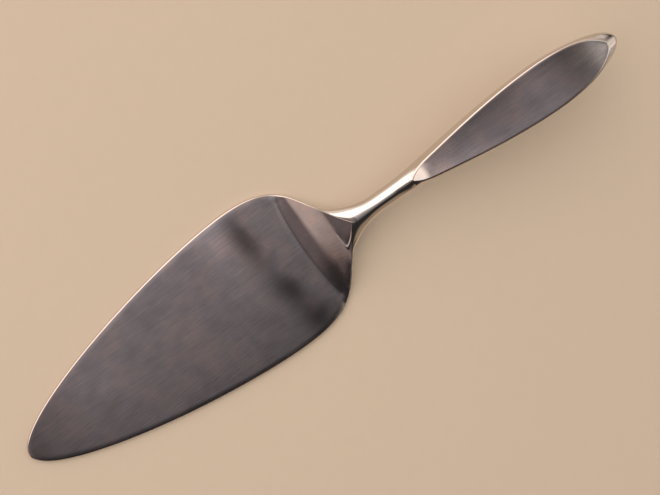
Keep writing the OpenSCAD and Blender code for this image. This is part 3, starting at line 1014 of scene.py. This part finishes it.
def neckRing(along, column, n=neckSizes):
    # one ring of the neck: its top from +Y over to -Y with the root's pocket in it, then its underside
    onFrame = along < rootAlong
    onSaddle = along < frameAlong
    framed = onFrame & ~onSaddle
    swollen = along > swellAlong
    half = planHalf(along)
    mouth = outlineHalf(along) + fitGap
    rimShare = ease((along - frameAlong) / n["rimRun"])
    deep = np.where(swollen, bellyDepth(along), handleSizes["neckRadius"])
    low = np.where(onFrame, saddleHeight(along), axisHeight(along) - deep)
    floor = underHeight(along) - fitGap
    rise = ease((along - frameAlong) / n["frameRise"])
    frameTop = floor + (faceHeight(along) - n["rimSink"] - floor) * rise
    crestSlope = math.tan(math.radians(bladeSizes["crestAngle"]))
    crestLine = float(faceHeight(rootAlong)) - n["rimSink"] + (along - rootAlong) * crestSlope
    frameLine = np.where(onFrame, frameTop, crestLine)
    barLine = axisHeight(along) + np.where(swollen, half, handleSizes["neckRadius"])
    # the lower of the two lines, blended softly where they meet
    soft = n["rootSoft"]
    above = np.clip((barLine - frameLine) / soft, -n["rootSoftMost"], n["rootSoftMost"])
    top = np.where(onSaddle, floor, barLine - soft * np.log(1 + np.exp(above)))
    half = np.where(framed, np.maximum(half, mouth + rim * rimShare), half)
    pointGap = np.where(onFrame, outlineHalf(along), rootAlong - along)
    rootHalf = (pointGap + np.sqrt(pointGap ** 2 + n["pointRound"] ** 2)) / 2
    rimHalf = rootHalf + fitGap + rim * n["rimFlatShare"] * rimShare
    edgeHalf = np.where(onSaddle, n["saddleFlatShare"] * half, np.minimum(rimHalf, n["rimMostShare"] * half))
    frameShare = ease((along - frameAlong) / (rootAlong - frameAlong))
    edgeAngle = np.radians(n["frameEdgeAngle"] + n["frameEdgeTurn"] * frameShare)
    power = 2 / squareness(along)
    middle = (top + low) / 2

    upperCount = 2 * n["flank"] + n["pocket"]
    place = column % (upperCount + n["belly"])
    fromSide = np.where(place <= n["flank"], place, upperCount - place)
    sign = np.where(place <= n["flank"], 1, -1)
    angle = edgeAngle * np.clip(fromSide / n["flank"], 0, 1)
    edgeCos = np.cos(edgeAngle) ** power
    y = sign * (edgeHalf + (half - edgeHalf) * (np.cos(angle) ** power - edgeCos) / (1 - edgeCos))
    climb = (np.sin(angle) / np.sin(edgeAngle)) ** power
    crease = n["creaseBlend"] * np.clip(1 - ((along - rootAlong) / n["creaseReach"]) ** 2, 0, 1) ** 2
    z = middle + (top - middle) * climb - crease * (climb - climb ** n["creasePower"])

    corner = place - n["flank"]
    inPocket = (corner > 0) & (corner < n["pocket"])
    pocketHalf = np.where(framed, mouth, n["pocketShare"] * edgeHalf)
    y = np.where(inPocket, np.sign(n["pocket"] / 2 - corner) * pocketHalf, y)
    z = np.where(inPocket, np.where(onFrame, floor, top), z)

    below = place - upperCount
    angle = math.pi * np.clip(below / n["belly"], 0, 1)
    y = np.where(below > 0, -half * np.cos(angle), y)
    z = np.where(below > 0, middle - (middle - low) * np.sin(angle), z)
    return y, z


def makeTang(n=neckSizes):
    deselectAll()
    stopAlong = jointAlong + n["tangLength"]
    start = np.array([jointAlong, 0, float(axisHeight(jointAlong))])
    stop = np.array([stopAlong, 0, float(axisHeight(stopAlong))])
    tilt = math.atan2(stop[2] - start[2], stop[0] - start[0])
    bpy.ops.mesh.primitive_cylinder_add(
        vertices=n["tangSides"], radius=n["tangRadius"], depth=float(np.linalg.norm(stop - start)),
        end_fill_type="NGON", location=(start + stop) / 2 + [tipX, 0, 0], rotation=(0, math.pi / 2 - tilt, 0))
    tang = bpy.context.object
    bpy.ops.object.transform_apply(location=True, rotation=True, scale=True)
    editPiece(tang)
    bpy.ops.mesh.bevel(offset=n["tangBevel"], segments=2, affect="EDGES")
    bpy.ops.object.mode_set(mode="OBJECT")
    return tang


def makeNeck(n=neckSizes):
    columns = 2 * n["flank"] + n["pocket"] + n["belly"]
    places = [saddleAlong, frameAlong, rootAlong, rootAlong + rim, roundAlong, jointAlong]
    stations = spread(n["stationCounts"], places, n["stationBends"])
    neck = closeUp(addSheet("neck", stations, columns, neckRing), bridge=False)
    neck = joinPieces(neck, makeTang())
    paintFaces(neck, [mirrorSteel], np.zeros(len(neck.data.polygons)))
    smoothPiece(neck, n["smoothAngle"])
    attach(neck, "root")
    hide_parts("neck")


makeNeck()
print("neck made")

# the cement is hidden, so its CAD shape is kept
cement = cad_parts["tang_cement"]
cement.data.materials.clear()
cement.data.materials.append(setCement)


# floor, light and camera

paper = {
    "size": 60.0,
    "colour": (0.76, 0.646, 0.525, 1),
    "darkShare": 0.955,
    "fibre": 160.0,
    "fibreShare": 0.6,
    "cloud": 9.0,
    "cloudShare": 0.4,
    "roughness": 0.9,
    "shine": 0.1,
}
# a wall's x and y are parts of the direction it lies in: where it starts, is full, fades and has gone
studio = {
    "keyWay": (0.03, 0.85, 0.52),
    "keyStops": [
        (0.30, (0.028, 0.026, 0.026)),
        (0.60, (0.035, 0.033, 0.033)),
        (0.70, (0.065, 0.062, 0.06)),
        (0.75, (0.20, 0.19, 0.185)),
        (0.81, (0.60, 0.53, 0.465)),
        (0.88, (0.93, 0.79, 0.69)),
        (1.0, (1.02, 0.87, 0.77)),
    ],
    "horizon": 0.06,
    "overhead": {"x": (-0.24, -0.14, 0.05, 0.105), "centre": 0.12, "width": 0.24, "foot": (-0.31, -0.235),
                 "colour": (0.43, 0.40, 0.405, 1)},
    "walls": {
        "right": {"x": (0.063, 0.22, 1.1, 1.2), "y": (-0.62, -0.42, -0.14, 0.24),
                  "colour": (0.96, 0.92, 0.80, 1)},
        "ramp": {"x": (-1.2, -1.1, -0.91, -0.71), "y": (-0.238, -0.206, 0.3, 0.6),
                 "colour": (0.215, 0.166, 0.135, 1)},
        "corner": {"x": (-1.2, -1.1, -0.91, -0.71), "y": (-0.20, -0.145, 0.3, 0.6),
                   "colour": (0.32, 0.285, 0.25, 1)},
        "left": {"x": (-1.2, -1.1, -0.32, -0.17), "y": (-0.25, -0.215, 0.2, 0.5),
                 "colour": (0.18, 0.145, 0.135, 1)},
        "side": {"x": (-0.25, -0.1, 0.22, 0.40), "y": (-1.3, -1.2, -0.90, -0.62),
                 "colour": (0.33, 0.235, 0.16, 1)},
        "back": {"x": (0.38, 0.60, 1.1, 1.2), "y": (-1.3, -1.2, -0.50, -0.36),
                 "colour": (0.50, 0.46, 0.44, 1)},
        "front": {"x": (-1.3, -1.2, -0.74, -0.56), "y": (-1.3, -1.2, -0.50, -0.36),
                  "colour": (0.36, 0.33, 0.32, 1)},
    },
    "lampPlace": (-0.28, 0.62, 0.72),
    "lampSize": 1.3,
    "lampPower": 4.3,
    "lampColour": (1.0, 0.89, 0.80),
    "cameraPlace": (-0.034537, 0.081905, 0.440594),
    "cameraTurn": (-6.1394, -10.4944, -35.6258),
    "lens": 65.45,
    "sensorWidth": 36,
    "clipStart": 0.01,
}


def makeFloor(s=paper):
    deselectAll()
    bpy.ops.mesh.primitive_plane_add(size=s["size"], location=(0, 0, 0))
    floor = bpy.context.object
    floor.name = "floor"
    material, make = newMaterial("paper")
    place = make.node("ShaderNodeTexCoord")["Object"]
    fibre = make.node("ShaderNodeTexNoise", {}, {"Vector": place, "Scale": s["fibre"], "Detail": 5.0})["Fac"]
    cloud = make.node("ShaderNodeTexNoise", {}, {"Vector": place, "Scale": s["cloud"], "Detail": 2.0})["Fac"]
    dark = tuple(v * s["darkShare"] for v in s["colour"][:3]) + (1,)
    colour = make.mixColours(fibre * s["fibreShare"] + cloud * s["cloudShare"], dark, s["colour"])
    shader = make.node("ShaderNodeBsdfPrincipled", {}, {
        "Base Color": colour, "Roughness": s["roughness"], "Specular IOR Level": s["shine"]})
    make.node("ShaderNodeOutputMaterial", {}, {"Surface": shader["BSDF"]})
    floor.data.materials.append(material)


def makeWorld(s=studio):
    # soft studio: dark away from the key side, bright towards it, and a few soft pale walls
    world = bpy.data.worlds.new("studio")
    bpy.context.scene.world = world
    world.use_nodes = True
    make = NodeMaker(world.node_tree)
    way = make.node("ShaderNodeTexCoord")["Generated"]
    key = np.array(s["keyWay"]) / np.linalg.norm(s["keyWay"])
    towards = make.node("ShaderNodeVectorMath", {"operation": "DOT_PRODUCT"}, {0: way, 1: tuple(key)})["Value"]
    light = make.node("ShaderNodeValToRGB", {"stops": s["keyStops"]}, {"Fac": towards * 0.5 + 0.5})["Color"]
    axes = make.node("ShaderNodeSeparateXYZ", {}, {"Vector": way})
    x, y = axes["X"], axes["Y"]
    above = make.rise(axes["Z"], 0.0, s["horizon"])
    over = s["overhead"]
    share = make.between(x, over["x"]) * make.bell(y, over["centre"], over["width"])
    glows = [(share * make.rise(y, *over["foot"]) * above, over["colour"])]
    for wall in s["walls"].values():
        glows.append((make.between(x, wall["x"]) * make.between(y, wall["y"]) * above, wall["colour"]))
    for share, colour in glows:
        light = make.blendColours("ADD", 1.0, light, make.mixColours(share, (0, 0, 0, 1), colour))
    back = make.node("ShaderNodeBackground", {}, {"Color": light, "Strength": 1.0})
    make.node("ShaderNodeOutputWorld", {}, {"Surface": back["Background"]})


def makeLamp(s=studio):
    deselectAll()
    bpy.ops.object.light_add(type="AREA", location=s["lampPlace"])
    lamp = bpy.context.object
    lamp.name = "softbox"
    lamp.data.shape = "DISK"
    lamp.data.size = s["lampSize"]
    lamp.data.energy = s["lampPower"]
    lamp.data.color = s["lampColour"]
    lamp.rotation_euler = (-Vector(s["lampPlace"])).to_track_quat("-Z", "Y").to_euler()


def makeCamera(s=studio):
    scene = bpy.context.scene
    data = bpy.data.cameras.new("camera")
    camera = bpy.data.objects.new("camera", data)
    scene.collection.objects.link(camera)
    camera.location = s["cameraPlace"]
    camera.rotation_euler = [math.radians(v) for v in s["cameraTurn"]]
    data.sensor_fit = "HORIZONTAL"
    data.sensor_width = s["sensorWidth"]
    data.lens = s["lens"]
    data.clip_start = s["clipStart"]
    scene.camera = camera
    scene.view_settings.view_transform = "Standard"


makeFloor()
makeWorld()
makeLamp()
makeCamera()
print("studio made")
